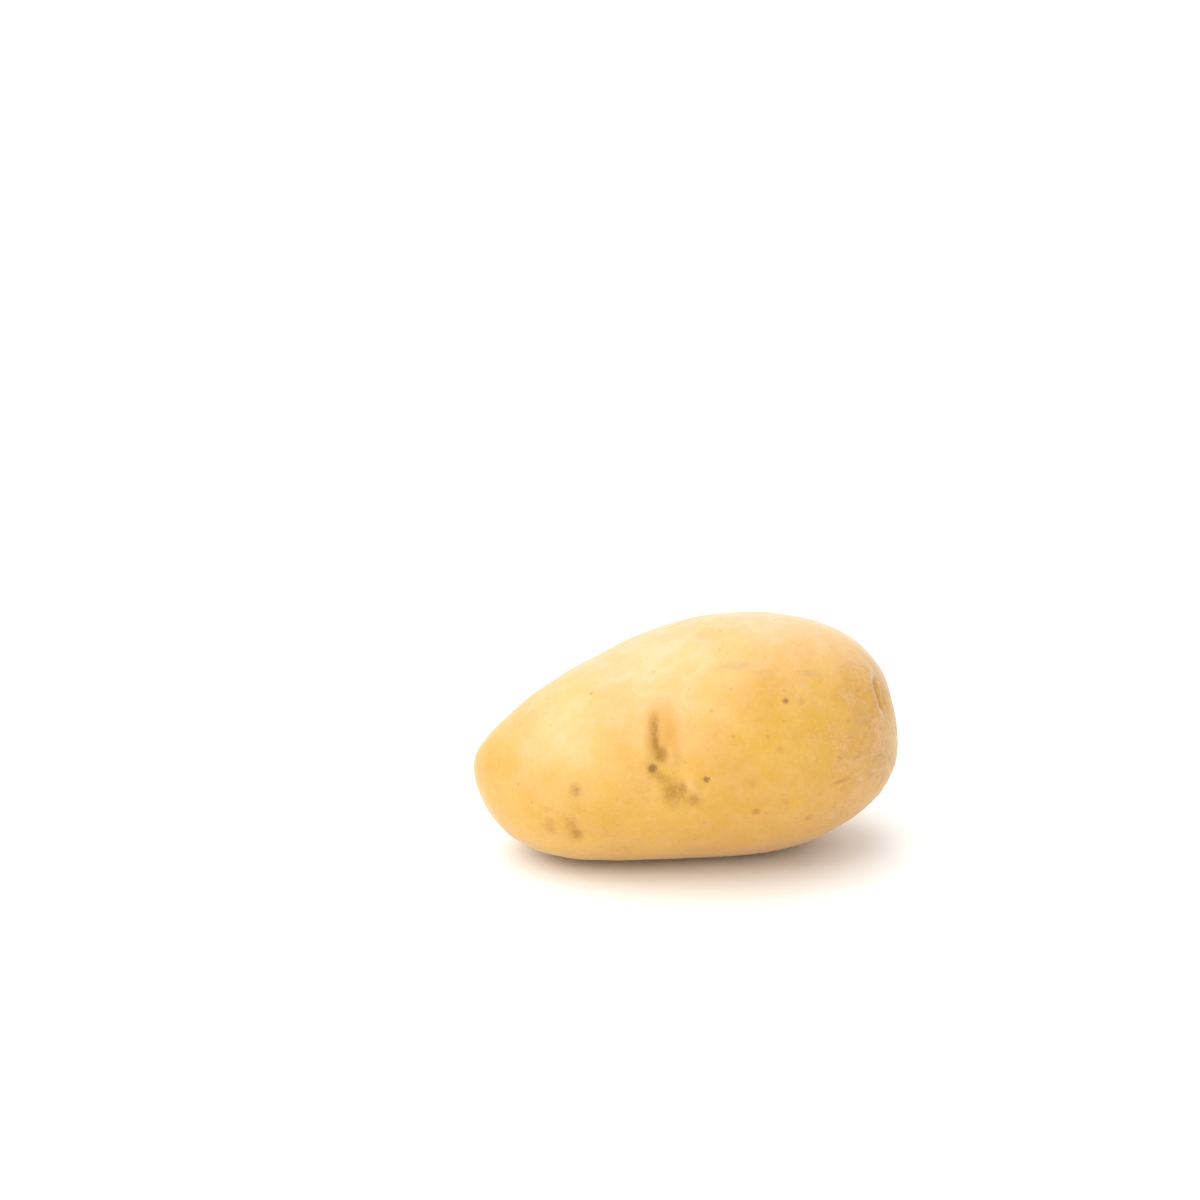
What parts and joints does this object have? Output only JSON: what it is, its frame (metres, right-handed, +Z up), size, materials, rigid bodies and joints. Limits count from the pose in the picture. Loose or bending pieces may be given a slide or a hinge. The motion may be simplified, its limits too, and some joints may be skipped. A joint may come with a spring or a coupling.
{
  "type": "potato",
  "caption": "Oval yellow-skinned potato with a narrower heel end, a blunt rose end, shallow eyes and a flatter side that it lies on.",
  "frame": {"origin": "middle of the bounding box's base, on the surface that the potato rests on", "axes": "+X along the tuber from its narrow heel to its blunt rose end, +Z up out of the flat that it rests on"},
  "size_m": [0.097, 0.0598, 0.0547],
  "materials": {
    "skin": "thin smooth yellow potato skin, satin, washed and unpeeled"
  },
  "bodies": {
    "root": {"potato": "skin"}
  },
  "joints": []
}
